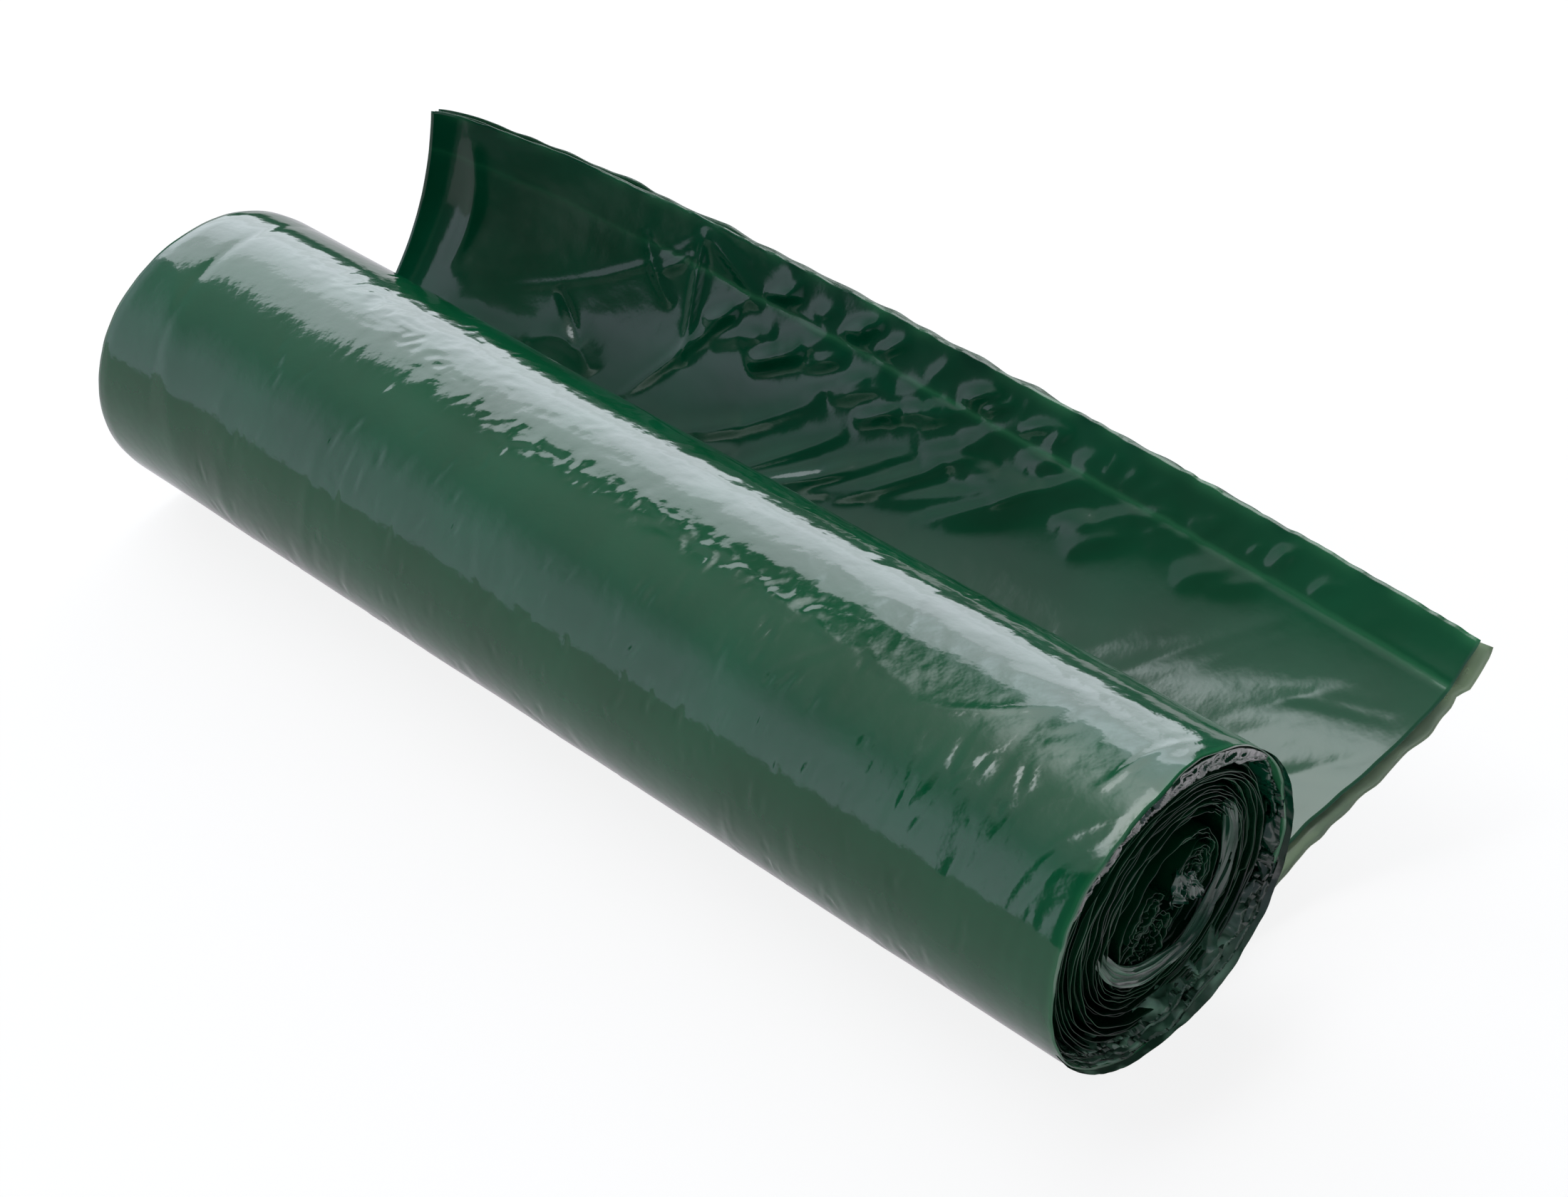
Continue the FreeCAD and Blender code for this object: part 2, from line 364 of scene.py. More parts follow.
def place_coil(end_x, facing, seed, coil):
    """The folded edges of the turns of one coil, in a wavy spiral."""
    turns, first_middle, last_middle, first_half, last_half, (front, behind), stir = coil

    def place(u, v):
        wound = u * turns
        turn = wound * 2 * math.pi
        row = np.rint(v * (len(SIDE_OUT) - 1)).astype(int)
        side, sunk = np.array(SIDE_OUT)[row], np.array(SIDE_BACK)[row]
        loose = np.exp(-sunk / 4.0)
        long_half = first_half[0] + (last_half[0] - first_half[0]) * u
        short_half = first_half[1] + (last_half[1] - first_half[1]) * u
        middle_y = first_middle[0] + (last_middle[0] - first_middle[0]) * u
        middle_z = first_middle[1] + (last_middle[1] - first_middle[1]) * u
        sway = 0.30 * noise(turn * 1.7, wound * 0.23, seed)
        sway = sway + 0.22 * noise(turn * 4.6, wound * 0.8, seed + 1)
        patchy = np.clip(noise(turn * 0.6, wound * 0.3, seed + 8), 0, 1)
        sway += 0.35 * patchy * noise(turn * 7.0, wound * 1.3, seed + 9)
        lean = 2.4 * np.clip(noise(turn * 0.45, wound * 0.21, seed + 7) - 0.15, 0, 1)
        lean = lean * np.exp(-sunk / 1.6)
        sway = sway * stir * (0.3 + 0.7 * loose) * (0.7 + 0.8 * u) + lean
        c, d = math.cos(LEAN), math.sin(LEAN)
        down_y, down_z = -np.sin(turn), -np.cos(turn)
        long_way, short_way = down_y * c + down_z * d, down_z * c - down_y * d
        wide, deep = long_half + sway + side, short_half + sway + side
        y = middle_y + long_way * wide * c - short_way * deep * d
        z = middle_z + (long_way * wide * d + short_way * deep * c) * 0.96
        ragged = noise(turn * 1.1, wound * 0.37, seed + 2)
        ragged = ragged + 0.6 * noise(turn * 3.7, wound * 1.3, seed + 3)
        back = front + (behind - front) * u
        back = back + 0.5 * np.sin(np.floor(wound / 3.6) * 2.4) * (u > 0.1)
        degrees = np.mod(np.degrees(turn), 360)
        hollow = 4.5 * window(degrees, 232, 318, 40) * np.exp(-((wound - 2.6) / 2.2) ** 2)
        hollow = hollow * (turns > MANY_TURNS)
        depth = np.maximum(back + ragged * (0.5 + 0.4 * stir * u), 0.5) + sunk + hollow
        return end_x - facing * depth, y, np.maximum(z, 0.6)
    return place


# Painted highlight: the middle of each folded edge is painted paler in patches.
def painted_highlight_edge(u, v):
    patchy = np.clip(0.5 + noise(u * 60, v * 0 + 0.5, 71), 0, 1)
    return 0.34 * patchy * np.exp(-((v - 0.5) / 0.1) ** 2)


def joined(name, pieces):
    """Several pieces as one."""
    whole = bmesh.new()
    for piece in pieces:
        whole.from_mesh(piece.data)
        bpy.data.objects.remove(piece)
    mesh = bpy.data.meshes.new(name)
    whole.to_mesh(mesh)
    whole.free()
    piece = bpy.data.objects.new(name, mesh)
    bpy.context.scene.collection.objects.link(piece)
    return piece


def end_turns(name, end_x, facing, seed):
    """All the coils of one end as one piece. facing is 1 or -1, the way it faces."""
    coils = []
    for k, coil in enumerate(COILS):
        corners = FIRST_COIL_CORNERS if k == 0 else COIL_CORNERS
        place = place_coil(end_x, facing, seed + 20 * k, coil)
        coils.append(sheet("coil", coil[0] * corners, len(SIDE_OUT) - 1, place, painted_highlight_edge))
    return joined(name, coils)


CRUSH_LAYERS = 5


def place_crush(u, v):
    """The outer turns' end along the back and the bottom of the near end, loose and
    crushed, each layer's face turned to the middle."""
    turn = math.radians(222) + u * math.radians(200)
    s = turn / (2 * math.pi) * AROUND
    fade = np.sin(np.clip(u, 0, 1) * math.pi) ** 0.6
    layer = np.minimum(np.floor(v * CRUSH_LAYERS), CRUSH_LAYERS - 1)
    within = v * CRUSH_LAYERS - layer
    reach = 0.4 + 0.85 * layer * (0.5 + 0.8 * window(u, 0.42, 0.95, 0.3))
    wave = 0.6 * noise(s / 9.0, layer * 0.7 + 0.3, 415)
    wave = wave + 0.12 * noise(s / 3.1, layer * 1.7 + 0.3, 416)
    dent = 0.6 * crumple(s / 9.5 + 0.4 * layer, within * 0.7 + 0.05 * s, 412, 1.8)
    inwards = reach + (wave + dent) * (0.35 + 0.4 * layer) + 0.9 * within ** 1.5
    inwards = inwards * (0.35 + 0.65 * fade)
    out = (0.9 + 0.5 * noise(s / 9, layer * 0.5, 411)) * fade * (1 - within)
    ragged = 1.2 * noise(s / 8.3, layer * 0.9 + 0.5, 417)
    ragged = ragged + 0.2 * noise(s / 2.9, layer * 1.3 + 0.5, 414)
    depth = 0.3 + 0.55 * layer + ragged * (0.4 + 0.2 * layer) * fade + 3.4 * within
    y, z = oval(turn, inwards - out)
    return NEAR_END + 1.2 * fade - depth, y, np.maximum(z, 0.2)


# Painted glints: paler patches along the second half of the crushed layers' run, over a faint
# painted light.
def painted_glints_crush(u, v):
    painted_glint = np.clip(noise(u * 26, v * 7, 418), 0, 1) * window(u, 0.5, 1.0, 0.2)
    return 1.5 * painted_glint + 0.2 * window(u, 0.4, 1.0, 0.2)


def place_fan(u, v):
    """A crumpled fold of film that shows its face in the middle of the near end."""
    a, b = u - 0.5, v - 0.5
    fold = 1.3 * crumple(u * 2.3 + 0.5 * v, v * 1.1, 421, 1.8)
    fold = fold + 0.5 * np.abs(((u * 5 + v * 2) % 2) - 1)
    y = 9.6 + 9.5 * a * (1.1 - 0.5 * v) + 1.2 * b + 0.6 * noise(u * 3, v * 3, 423)
    z = 25.6 - 4.0 * a + 5.0 * b + 0.6 * noise(u * 3, v * 3, 424)
    return NEAR_END - 4.6 + fold - 1.6 * b, y, z


def pale_fan(u, v):
    return 0 * u


def place_leaves(u, v):
    """Folds that run on around the lower side of the coils, with painted light in their colour."""
    turn = math.radians(-112) + u * math.radians(180)
    half = 20.0 - 2.6 * u - 3.8 * v * (0.4 + 0.6 * u) + 0.4 * noise(u * 9, v * 3, 431)
    step = 0.5 * ((v * 5) % 1)
    y = 2.5 - half * np.sin(turn)
    z = 29.5 - half * np.cos(turn)
    depth = 3.1 + 1.4 * v - step + 0.7 * noise(u * 5, v * 2, 432)
    depth = depth + 2.2 * (1 - np.sin(u * math.pi) ** 0.4)
    return NEAR_END - depth, y, np.maximum(z, 0.6)


# Painted reflection: the leaves are painted paler in stripes, most near the end of their run, for
# the light their faces mirror.
def painted_light_leaves(u, v):
    strips = 0.55 + 0.45 * noise(u * 8, v * 11, 433) - 0.5 * (((v * 5) % 1) > 0.8)
    return strips * (0.25 + 0.75 * window(u, 0.62, 0.97, 0.2))


def near_crush():
    pieces = [
        sheet("crush", 420, 7 * CRUSH_LAYERS, place_crush, painted_glints_crush),
        sheet("fan", 60, 30, place_fan, pale_fan),
        sheet("leaves", 180, 40, place_leaves, painted_light_leaves),
    ]
    return joined("near_crush", pieces)


def place_rim(u, v):
    """The second turn's end, which bulges out past the first and folds in over the
    turns behind it along the top of the near end."""
    turn = math.radians(118) + u * math.radians(112)
    s = turn / (2 * math.pi) * AROUND
    fade = np.sin(np.clip(u, 0, 1) * math.pi) ** 0.5
    folded = 0.5 + (0.8 + 3.3 * fade) * v
    bulge = (0.9 * np.sin(v * 2.4) - 1.3 * v) * fade
    crush = 1.15 * crumple(s / 5.0, v * 1.5 + 0.12 * s, 401, 1.7) * np.sin(v * math.pi * 0.9) * fade
    ragged = 0.9 * noise(s / 2.6, v * 0 + 0.5, 403) * v ** 3
    y, z = oval(turn, folded + ragged + 0.25 * noise(s / 5, v * 2, 405))
    return NEAR_END - 0.4 + bulge + crush, y, z


def rim_fold():
    return thicken(sheet("rim_fold", 260, 16, place_rim), RIM_FILM)


# The free end

class Curl:
    """The cone that the panels of the free end lie on."""

    def __init__(self, height):
        """The height is that of the cone's lowest line."""
        slope = (NEAR_CURL - FAR_CURL) / ROLL_LENGTH
        self.angle = math.atan(slope)
        self.apex_x = FAR_END - FAR_CURL / slope
        self.height = height

    def at(self, x, w, out=0.0):
        """The point that lies x along the roll and w from the root, measured on the
        flat film, and stands out of it on the side that faces the roll."""
        across = x - self.apex_x
        distance = np.hypot(across, w)
        turn = np.arctan2(w, across) / math.sin(self.angle)
        along = distance * math.cos(self.angle) + out * math.sin(self.angle)
        ray = distance * math.sin(self.angle) - out * math.cos(self.angle)
        px = self.apex_x + along * math.cos(self.angle) + ray * math.sin(self.angle) * np.cos(turn)
        pz = self.height + along * math.sin(self.angle) - ray * math.cos(self.angle) * np.cos(turn)
        py = LEAVE_Y + ray * np.sin(turn)
        return px, py, pz


def free_length(x):
    """How far the torn edge is from the root, measured on the flat film."""
    share = (x - FAR_END) / ROLL_LENGTH
    straight = FAR_LENGTH + (NEAR_LENGTH - FAR_LENGTH) * share
    return straight + EDGE_BOW * 4 * share * (1 - share)


def seal_line(x):
    """How far the sealed seam is from the root."""
    return free_length(x) - SEAL_DISTANCE


def far_bend(x, w):
    """How the panels' far side bends in towards the roll."""
    bend = 3.6 * np.clip((FAR_END + 55 - x) / 55, 0, 1) ** 2 * np.clip(w / 94, 0, 1) ** 1.2
    return bend + 1.4 * np.clip((FAR_END + 7 - x) / 7, 0, 1) ** 2 * np.clip(w / 40, 0, 1)


def near_edge(w, low_x, high_x):
    """Where a panel's near side lies along the roll, at a distance w from the root."""
    share = np.clip((w - 44) / 40, 0, 1)
    return low_x + (high_x - low_x) * share * share * (3 - 2 * share)


def slanting(x0, w0, reach, rise, bend):
    """A bent path that slants up and away from one of its ends."""
    middle = (x0 + 0.5 * reach, w0 + bend * rise * reach)
    return ((x0, w0), middle, (x0 + reach, w0 + rise * reach))


def panel_height(x, w, edge):
    """How far the front panel's film stands out. edge is how far the torn edge is."""
    height = 0.35 * layered(x / 70, w / 50, 61, 2) + far_bend(x, w)
    height += 0.04 * (1 - 0.7 * np.clip((x + 20) / 60, 0, 1)) * layered(x / 9, w / 7, 62, 2)
    for path, width, lift in PANEL_FOLDS:
        height += crease(x, w, path, width, lift)
    draw = np.random.default_rng(65)
    for k in range(13):
        x0, w0 = -52 + 6.2 * k + draw.normal(0, 1.5), 46 + 1.6 * k + draw.normal(0, 3)
        reach, rise = draw.uniform(16, 34), draw.uniform(0.62, 0.9)
        path = slanting(x0, w0, reach, rise, 0.42)
        width, lift = draw.uniform(1.5, 2.6), draw.uniform(0.45, 0.85)
        height += crease(x, w, path, width, lift * (1 - 0.045 * k))
    for k in range(10):
        x0, w0 = 20 + 9 * k + draw.normal(0, 3), 38 + 1.5 * k + draw.normal(0, 4)
        reach, rise = draw.uniform(16, 30), draw.uniform(0.6, 1.3)
        path = slanting(x0, w0, reach, rise, 0.55)
        height += crease(x, w, path, draw.uniform(1.4, 2.6), draw.uniform(0.04, 0.13))
    for k in range(6):
        x0, w0 = NEAR_END - draw.uniform(0, 8), 44 + 6.5 * k + draw.normal(0, 2)
        path = (
            (x0, w0),
            (x0 - 12, w0 - draw.uniform(0, 5)),
            (x0 - draw.uniform(20, 40), w0 - draw.uniform(4, 14)),
        )
        height += crease(x, w, path, draw.uniform(1.2, 2.2), draw.uniform(0.04, 0.10))
    for k in range(40):
        x0 = -44 + 3.1 * k + draw.normal(0, 2.0)
        off = draw.choice((-3.2, -8.5)) + draw.normal(0, 1.4)
        reach = draw.uniform(7, 13)
        rise = draw.uniform(0.55, 0.85)
        w0 = seal_line(x0) + off
        path = (
            (x0 - 0.5 * reach, w0 - 0.5 * rise * reach),
            (x0, w0 + 0.4),
            (x0 + 0.5 * reach, w0 + 0.5 * rise * reach),
        )
        width, lift = draw.uniform(1.3, 2.3), draw.uniform(0.3, 0.75)
        height += crease(x, w, path, width, lift * (1 - 0.017 * k))
    for k in range(30):
        x0 = -42 + 5.0 * k + draw.normal(0, 2.6)
        w0 = seal_line(x0) + draw.uniform(0.5, 2.0)
        reach, rise = draw.uniform(1.5, 9), draw.uniform(2.5, 7)
        path = ((x0, w0), (x0 + 0.4 * reach, w0 + 0.6 * rise), (x0 + reach, w0 + rise))
        width, lift = draw.uniform(0.8, 1.9), draw.uniform(0.1, 0.75)
        height += crease(x, w, path, width, lift * (1 - 0.022 * k))
    groove = 0.16 * np.exp(-((edge - SEAL_DISTANCE) / SEAL_WIDTH) ** 2)
    height -= groove * np.clip((x + 80) / 40, 0.15, 1)
    return height


# Folds of the free end: three points along the roll and away from the root, the
# width and the height.
PANEL_FOLDS = (
    (((-56, 94), (-55, 82), (-50, 66)), 1.3, 0.7),
    (((-55, 94), (-66, 78), (-98, 63)), 0.8, 0.16),
    (((-56, 93), (-44, 89), (-38, 84)), 1.4, 0.5),
    (((-40, 87), (-48, 75), (-60, 54)), 1.5, 0.6),
    (((-86, 68), (-80, 64), (-75, 59)), 1.0, -0.5),
    (((-70, 88), (-64, 78), (-58, 76)), 1.2, 0.35),
    (((-66, 80), (-60, 84), (-57, 88)), 1.2, 0.3),
    (((-112, 54), (-100, 51), (-88, 55)), 3.5, 0.5),
    (((-88, 54), (-78, 64), (-69, 55)), 3.0, 0.6),
    (((-116, 90), (-110, 76), (-114, 60)), 2.2, 0.6),
)

# Where the near side of the front panel and of the fold behind it lies, low and high
FRONT_SIDE = (NEAR_END - 7.5, NEAR_END + 0.8)
FOLD_SIDE = (NEAR_END - 4.6, NEAR_END + 1.4)
TAB = 1.6                 # how much further the fold stands out by the torn edge
REAR_SHORTER = 0.6        # how much lower the rear panels end than the front panel


def place_front(u, v):
    x = FAR_END + u * (near_edge(v * NEAR_LENGTH, *FRONT_SIDE) - FAR_END)
    length = free_length(x)
    edge_draw = 0.22 * noise(x / 3.1, x * 0 + 0.4, 91) + 0.3 * noise(x / 17, x * 0 + 0.2, 92)
    w = v * (length + edge_draw)
    height = panel_height(x, w, length - w) * window(w, 14, 200, 20)
    waver = 0.8 * noise(w / 16, w * 0 + 0.7, 93) + 0.3 * noise(w / 6, w * 0 + 0.1, 94)
    x = x + waver * np.clip((u - 0.95) / 0.05, 0, 1)
    return FRONT_CURL.at(x, w, height)


def pale_and_painted_light_front(u, v):
    x = FAR_END + u * (near_edge(v * NEAR_LENGTH, *FRONT_SIDE) - FAR_END)
    edge = (1 - v) * free_length(x)
    seam = 0.30 * np.exp(-((edge - SEAL_DISTANCE) / SEAL_WIDTH) ** 2)
    seam = seam * np.clip((x + 80) / 30, 0.3, 1)
    torn = 0.40 * np.exp(-(edge / 1.6) ** 2) * (0.5 + noise(x / 8, x * 0 + 0.6, 99))
    # Painted light: the free end is painted paler towards the near end and away from the root.
    sunlit = 0.16 * np.clip((x + 10) / 110, 0, 1) * np.clip(v * 2, 0, 1)
    return seam + torn + sunlit


def place_rear(u, v):
    """The inner panel from the far fold to the near fold, and the back panel after it."""
    first = u < 0.5
    share = np.where(first, u * 2, 2 - u * 2)
    tab = TAB * window(v, 0.90, 1.2, 0.02)
    x = FAR_END + share * (near_edge(v * NEAR_LENGTH, *FOLD_SIDE) + tab - FAR_END)
    spread = np.clip(np.abs(u - 0.5) / 0.012, 0, 1)
    spread = np.sqrt(np.clip(1 - (1 - spread) ** 2, 0, 1))
    length = free_length(np.clip(x, FAR_END, NEAR_END))
    w = v * (length - REAR_SHORTER + 0.5 * noise(x / 7, u * 4, 95))
    open_share = (w / 95) ** 2 * (0.35 + 0.65 * share)
    inner = 0.45 + 1.9 * open_share
    outer = 0.9 + 4.2 * open_share
    middle = (inner + outer) / 2
    sunk = np.where(first, middle - (middle - inner) * spread, middle + (outer - middle) * spread)
    height = far_bend(x, w) + 0.3 * layered(x / 30, w / 22, 101, 2) * window(w, 14, 200, 20)
    wave = 1.0 * noise(w / 13, w * 0 + 0.3, 97) + 0.5 * noise(w / 4.5, w * 0 + 0.6, 98)
    x = x + wave * np.clip((share - 0.95) / 0.05, 0, 1)
    return FRONT_CURL.at(x, w, height - sunk)


# Painted glow in streaks along the fold's edge; the same marks set where that edge lets light
# through.
def see_through_and_painted_glow_rear(u, v):
    share = np.where(u < 0.5, u * 2, 2 - u * 2)
    streak = 0.72 + 0.45 * noise(v * 6, share * 210, 103)
    streak = streak + 0.18 * noise(v * 44, share * 90, 104)
    return np.clip((share - 0.962) / 0.018, 0, 1) * np.clip(streak, 0.2, 1)


FRONT_CURL = Curl(ROOT_HEIGHT)


def front_panel():
    return thicken(sheet("front_panel", 330, 125, place_front, pale_and_painted_light_front), FRONT_FILM)


def rear_panels():
    return thicken(sheet("rear_panels", 420, 90, place_rear, see_through_and_painted_glow_rear), REAR_FILM)


# Finishes

def shader(name):
    material = bpy.data.materials.new(name)
    material.use_nodes = True
    nodes, links = material.node_tree.nodes, material.node_tree.links
    nodes.clear()
    output = nodes.new("ShaderNodeOutputMaterial")
    return material, nodes, links, output


def soft_step(nodes, links, source, start, end, first=0.0, last=1.0):
    """Goes softly from first, where the source is start, to last, where it is end."""
    step = nodes.new("ShaderNodeMapRange")
    step.interpolation_type = "SMOOTHSTEP"
    step.inputs["From Min"].default_value = start
    step.inputs["From Max"].default_value = end
    step.inputs["To Min"].default_value = first
    step.inputs["To Max"].default_value = last
    links.new(source, step.inputs["Value"])
    return step.outputs["Result"]


def worked_out(nodes, links, operation, *values):
    """A number worked out from others, each a socket or a plain number."""
    node = nodes.new("ShaderNodeMath")
    node.operation = operation
    for k, value in enumerate(values):
        if isinstance(value, (int, float)):
            node.inputs[k].default_value = value
        else:
            links.new(value, node.inputs[k])
    return node.outputs["Value"]


def cloudy(nodes, links, place, scale, detail):
    texture = nodes.new("ShaderNodeTexNoise")
    texture.inputs["Scale"].default_value = scale
    texture.inputs["Detail"].default_value = detail
    links.new(place, texture.inputs["Vector"])
    return texture.outputs["Fac"]


def stretched(nodes, links, place, columns, rows):
    """A sheet's own flat coordinates, with so many units along its columns and rows."""
    node = nodes.new("ShaderNodeMapping")
    node.inputs["Scale"].default_value = (columns, rows, 1)
    links.new(place.outputs["UV"], node.inputs["Vector"])
    return node.outputs["Vector"]


def bumped(nodes, links, height, strength, distance, below=None):
    """The surface's direction with small bumps on it, over those of below."""
    bump = nodes.new("ShaderNodeBump")
    bump.inputs["Strength"].default_value = strength
    bump.inputs["Distance"].default_value = distance
    links.new(height, bump.inputs["Height"])
    if below is not None:
        links.new(below, bump.inputs["Normal"])
    return bump.outputs["Normal"]


# Dents and streaks in the film. Sizes on the sheet are in millimetres, and depths in
# metres.
DENT_APART = (9.0, 16.0)
DENT_REACH = 0.09         # of the distance between two dents
DENT_DEPTH = 0.00018
STREAK_SIZE = (1.7, 11.0)
STREAK_DEPTH = 0.00005
GRAIN_DEPTH = 0.0002


def dented(nodes, links, place, width, length):
    """Small sharp dents and fine streaks on a sheet that is width along its columns
    and length along its rows, in millimetres."""
    spot = nodes.new("ShaderNodeTexVoronoi")
    spot.voronoi_dimensions = "2D"
    spot.inputs["Scale"].default_value = 1.0
    cells = stretched(nodes, links, place, width / DENT_APART[0], length / DENT_APART[1])
    links.new(cells, spot.inputs["Vector"])
    dent = soft_step(nodes, links, spot.outputs["Distance"], 0.0, DENT_REACH)
    dents = bumped(nodes, links, dent, 1.0, DENT_DEPTH)
    lines = stretched(nodes, links, place, width / STREAK_SIZE[0], length / STREAK_SIZE[1])
    streak = cloudy(nodes, links, lines, 1.0, 2.0)
    return bumped(nodes, links, streak, 1.0, STREAK_DEPTH, dents)


def film_finish(name, deep, thin, pale_and_painted_light, roughness, light_through=None, dents=None,
                shine=1.5, grained=0.25):
    """Glossy coloured film. deep and thin are the ends of its cloudy colour. The fourth
    argument is the colour that the marks show: paler film, as of a single stretched
    layer, on some sheets and painted light (painted highlights, glints and glow) on
    others. light_through is the colour of the light that passes such a layer. dents is
    the size of a sheet that has dents, shine is the index of refraction, and grained is
    how strong the fine grain is."""
    material, nodes, links, output = shader(name)
    place = nodes.new("ShaderNodeTexCoord")
    colour = nodes.new("ShaderNodeValToRGB")
    colour.color_ramp.elements[0].position = 0.3
    colour.color_ramp.elements[0].color = (*deep, 1)
    colour.color_ramp.elements[1].position = 0.75
    colour.color_ramp.elements[1].color = (*thin, 1)
    cloud = cloudy(nodes, links, place.outputs["Object"], 38.0, 3.0)
    links.new(cloud, colour.inputs["Fac"])
    # The marks: paler film on some sheets, painted light (highlights, glints, glow) on others.
    marks = nodes.new("ShaderNodeAttribute")
    marks.attribute_name = "pale_and_painted_light"
    blend = nodes.new("ShaderNodeMix")
    blend.data_type = "RGBA"
    blend.inputs["B"].default_value = (*pale_and_painted_light, 1)
    links.new(marks.outputs["Fac"], blend.inputs["Factor"])
    links.new(colour.outputs["Color"], blend.inputs["A"])
    grain = cloudy(nodes, links, place.outputs["Object"], 420.0, 2.0)
    below = dented(nodes, links, place, *dents) if dents else None
    surface = bumped(nodes, links, grain, grained, GRAIN_DEPTH, below)
    film = nodes.new("ShaderNodeBsdfPrincipled")
    film.inputs["Roughness"].default_value = roughness
    film.inputs["IOR"].default_value = shine
    links.new(blend.outputs["Result"], film.inputs["Base Color"])
    links.new(surface, film.inputs["Normal"])
    if not light_through:
        links.new(film.outputs["BSDF"], output.inputs["Surface"])
        return material
    clear = nodes.new("ShaderNodeBsdfTransparent")
    clear.inputs["Color"].default_value = (*light_through, 1)
    mix = nodes.new("ShaderNodeMixShader")
    links.new(worked_out(nodes, links, "MULTIPLY", marks.outputs["Fac"], 0.6), mix.inputs["Fac"])
    links.new(film.outputs["BSDF"], mix.inputs[1])
    links.new(clear.outputs["BSDF"], mix.inputs[2])
    links.new(mix.outputs["Shader"], output.inputs["Surface"])
    return material


def dress(piece, material):
    piece.data.materials.clear()
    piece.data.materials.append(material)
    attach(piece, "root")
    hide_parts("bag_roll")
    return piece


# The surroundings

# The floor as the film mirrors it. It is dim as far as MIRRORED_FROM along the roll's
# direction, and past MIRRORED_TO it is bright.
MIRRORED_FROM, MIRRORED_TO = 0.148, 0.182
MIRRORED_DIM, MIRRORED_BRIGHT = 0.68, 2.6
MIRRORED_TINT = (1.0, 0.93, 1.0)
MIRRORED_SHARE = 0.8
FLOOR_WHITE = 0.86


def white_finish(name, share):
    """A white surface. The camera sees that share of it evenly bright and the rest
    with the lamps' shadows on it. The film mirrors it dimly beside the roll and more
    than white past the near end."""
    material, nodes, links, output = shader(name)
    matt = nodes.new("ShaderNodeBsdfDiffuse")
    matt.inputs["Color"].default_value = (0.9, 0.9, 0.9, 1)
    bright = nodes.new("ShaderNodeEmission")
    bright.inputs["Color"].default_value = (1, 1, 1, 1)
    bright.inputs["Strength"].default_value = 1.0
    way = nodes.new("ShaderNodeLightPath").outputs
    seen = worked_out(nodes, links, "MAXIMUM", way["Is Camera Ray"], way["Is Transmission Ray"])
    mix = nodes.new("ShaderNodeMixShader")
    links.new(worked_out(nodes, links, "MULTIPLY", seen, share), mix.inputs["Fac"])
    links.new(matt.outputs["BSDF"], mix.inputs[1])
    links.new(bright.outputs["Emission"], mix.inputs[2])
    place = nodes.new("ShaderNodeTexCoord")
    axes = nodes.new("ShaderNodeSeparateXYZ")
    links.new(place.outputs["Object"], axes.inputs["Vector"])
    ends = MIRRORED_FROM, MIRRORED_TO, MIRRORED_DIM, MIRRORED_BRIGHT
    level = soft_step(nodes, links, axes.outputs["X"], *ends)
    mirrored = nodes.new("ShaderNodeEmission")
    mirrored.inputs["Color"].default_value = (*MIRRORED_TINT, 1)
    links.new(level, mirrored.inputs["Strength"])
    part = worked_out(nodes, links, "MULTIPLY", way["Is Glossy Ray"], MIRRORED_SHARE)
    both = nodes.new("ShaderNodeMixShader")
    links.new(part, both.inputs["Fac"])
    links.new(mix.outputs["Shader"], both.inputs[1])
    links.new(mirrored.outputs["Emission"], both.inputs[2])
    links.new(both.outputs["Shader"], output.inputs["Surface"])
    return material


def floor():
    grid = bmesh.new()
    bmesh.ops.create_grid(grid, x_segments=1, y_segments=1, size=3.0)
    mesh = bpy.data.meshes.new("floor")
    grid.to_mesh(mesh)
    grid.free()
    piece = bpy.data.objects.new("floor", mesh)
    bpy.context.scene.collection.objects.link(piece)
    piece.data.materials.append(white_finish("floor_white", FLOOR_WHITE))


# The room. Its tint by height, and its share of light by how far to the side it is,
# from 0 at the far end's side to 1 at the near end's.
SKY_TINTS = (
    (0.0, (1.25, 1.3, 1.55)),
    (0.42, (1.1, 1.15, 1.4)),
    (0.62, (0.57, 0.68, 0.76)),
    (1.0, (0.43, 0.56, 0.59)),
)
SIDE_SHARES = ((0.0, 0.5), (0.215, 0.5), (0.265, 0.62), (0.35, 0.55), (0.48, 0.28))

# Patches of the room: how strong each is, and the soft edges that bound it. An edge is
# an axis, where it starts and where the patch is full.
GAP = (0.92, (("X", -0.455, -0.41), ("X", 0.15, -0.10), ("Y", -0.54, -0.70)))
CEILING = (7.2, (
    ("X", -0.425, -0.38),
    ("X", -0.18, -0.28),
    ("Y", -0.50, -0.40),
    ("Y", 0.42, 0.28),
    ("Z", 0.50, 0.70),
))
SHEEN = (4.0, (("X", -0.56, -0.44), ("X", -0.18, -0.28), ("Y", -0.12, 0.22), ("Z", 0.50, 0.70)))


def patch(nodes, links, axes, strength, edges):
    """A patch of the room, 0 outside its soft edges and full within them."""
    whole = None
    for axis, start, full in edges:
        most = strength if whole is None else 1.0
        edge = soft_step(nodes, links, axes.outputs[axis], start, full, 0.0, most)
        whole = edge if whole is None else worked_out(nodes, links, "MULTIPLY", whole, edge)
    return whole


def ramped(nodes, links, source, stops):
    """A colour that runs through the stops."""
    ramp = nodes.new("ShaderNodeValToRGB")
    elements = ramp.color_ramp.elements
    for place, tint in stops:
        stop = elements[0] if place == 0.0 else elements.new(place)
        stop.position = place
        stop.color = (*tint, 1)
    elements.remove(elements[-1])
    links.new(source, ramp.inputs["Fac"])
    return ramp.outputs["Color"]


